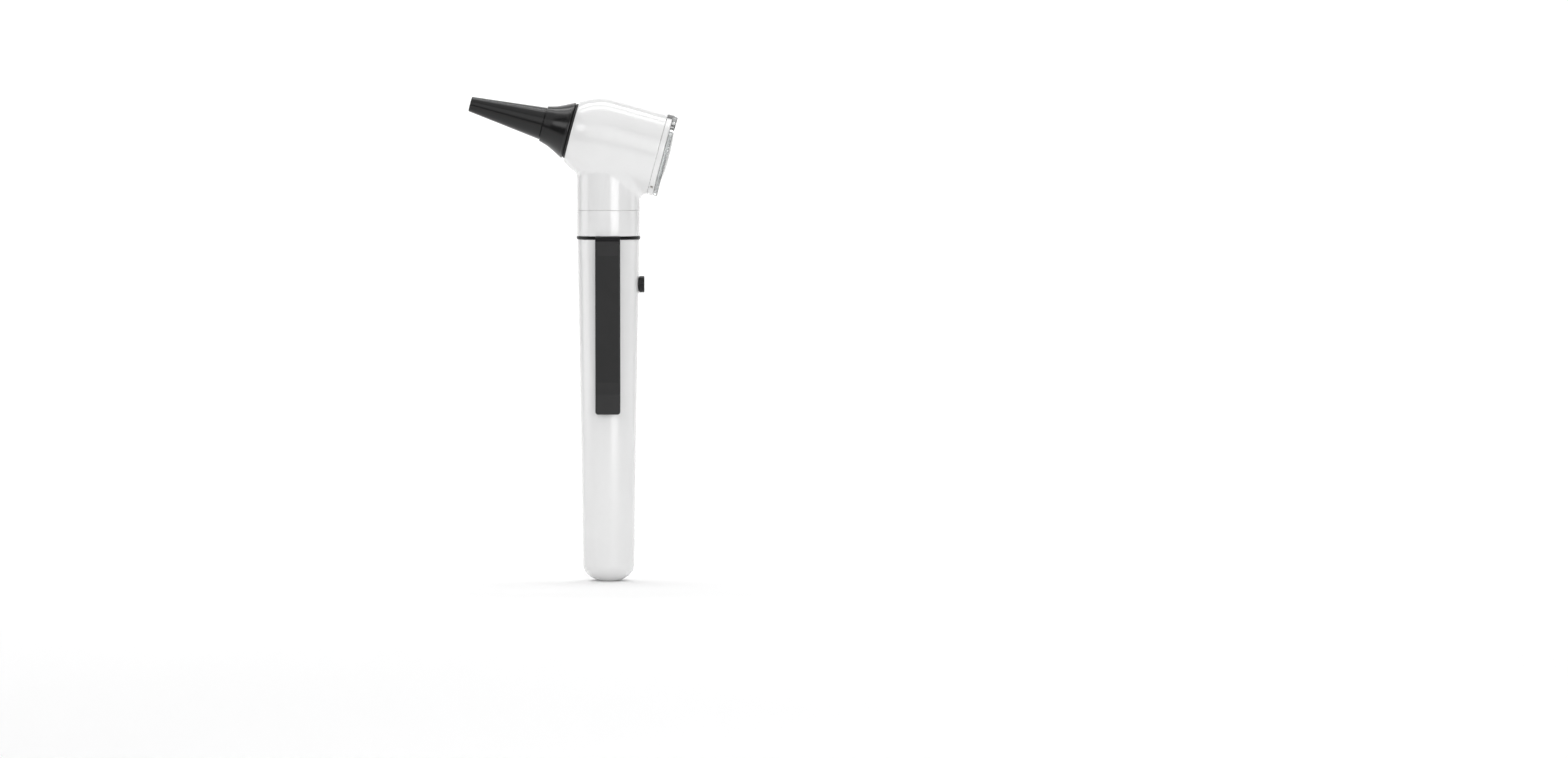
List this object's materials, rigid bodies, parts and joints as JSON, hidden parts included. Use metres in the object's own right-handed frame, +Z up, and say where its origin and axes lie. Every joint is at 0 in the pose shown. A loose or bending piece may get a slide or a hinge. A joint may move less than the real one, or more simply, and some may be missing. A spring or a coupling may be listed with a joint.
{
  "type": "otoscope",
  "caption": "Pocket ear-examination instrument: slim battery handle with slide switch and clip, tilted barrel head, swivelling magnifier and removable funnel speculum.",
  "frame": {"origin": "centre of the flat end face at the bottom of the handle", "axes": "+Z up along the handle's axis to the head, -X towards the speculum's tip, +X towards the magnifier and the switch, -Y out of the side that carries the pocket clip"},
  "size_m": [0.0733, 0.0361, 0.1694],
  "materials": {
    "white_plastic": "gloss",
    "black_plastic": "satin",
    "inner_black": "matt",
    "clip_steel": "satin black coating",
    "nickel": "nickel plated",
    "brass": "bright",
    "battery_can": "printed sleeve",
    "lamp_and_fibre_glass": "clear",
    "seal_rubber": "matt",
    "clear_plate": "clear",
    "magnifier_glass": "clear",
    "speculum_plastic": "satin gloss"
  },
  "bodies": {
    "handle": {"handle_tube": "white_plastic", "thread_ring": "nickel", "spring_plate": "nickel", "battery_spring": "nickel", "conductor_strip": "brass", "upper_contact_strip": "brass", "battery_lower": "battery_can", "battery_upper": "battery_can"},
    "switch": {"switch_knob": "black_plastic", "switch_slider": "black_plastic", "switch_contact": "brass"},
    "clip": {"clip_ring": "clip_steel"},
    "clip_leaf": {"clip_leaf": "clip_steel"},
    "head": {"neck_collar": "white_plastic", "threaded_sleeve": "nickel", "contact_insulator": "inner_black", "centre_contact": "brass", "contact_spring": "nickel", "lamp_holder": "nickel", "lamp_base": "brass", "lamp_glass": "lamp_and_fibre_glass", "light_guide": "lamp_and_fibre_glass", "fibre_ring": "lamp_and_fibre_glass", "head_shell": "white_plastic", "viewing_tube": "inner_black", "speculum_mount": "inner_black", "mount_seal": "seal_rubber", "mount_retaining_ring": "nickel", "insufflation_port": "nickel", "rear_bezel": "white_plastic", "hinge_block": "black_plastic", "bezel_screws": "nickel", "lens_pivot": "nickel", "pivot_washer": "nickel"},
    "lens": {"lens_plate": "clear_plate", "magnifier_lens": "magnifier_glass"},
    "speculum": {"speculum": "speculum_plastic"}
  },
  "joints": [
    {"name": "head_lift", "type": "slide", "parent": "handle", "child": "clip", "axis": [0, 0, 1], "range_m": [0, 0.006]},
    {"name": "head_turn", "type": "hinge", "parent": "clip", "child": "head", "pos_m": [0, 0, 0.12], "axis": [0, 0, 1], "range_deg": [0, 1440]},
    {"name": "clip_flex", "type": "hinge", "parent": "clip", "child": "clip_leaf", "pos_m": [0, -0.01205, 0.1183], "axis": [-1, 0, 0], "range_deg": [0, 3.5], "stiffness_Nm_per_rad": 0.3, "springref_deg": -1.15},
    {"name": "switch_slide", "type": "slide", "parent": "handle", "child": "switch", "axis": [0, 0, 1], "range_m": [0, 0.004]},
    {"name": "lens_swivel", "type": "hinge", "parent": "head", "child": "lens", "pos_m": [0.02347, 0, 0.16045], "axis": [0.9659, 0, -0.2588], "range_deg": [-180, 180]},
    {"name": "speculum_pull", "type": "slide", "parent": "head", "child": "speculum", "axis": [-0.9659, 0, 0.2588], "range_m": [0, 0.02]}
  ],
  "couplings": [
    {"joint": "head_lift", "follows": "head_turn", "m_per_rad": 0.00023873}
  ]
}
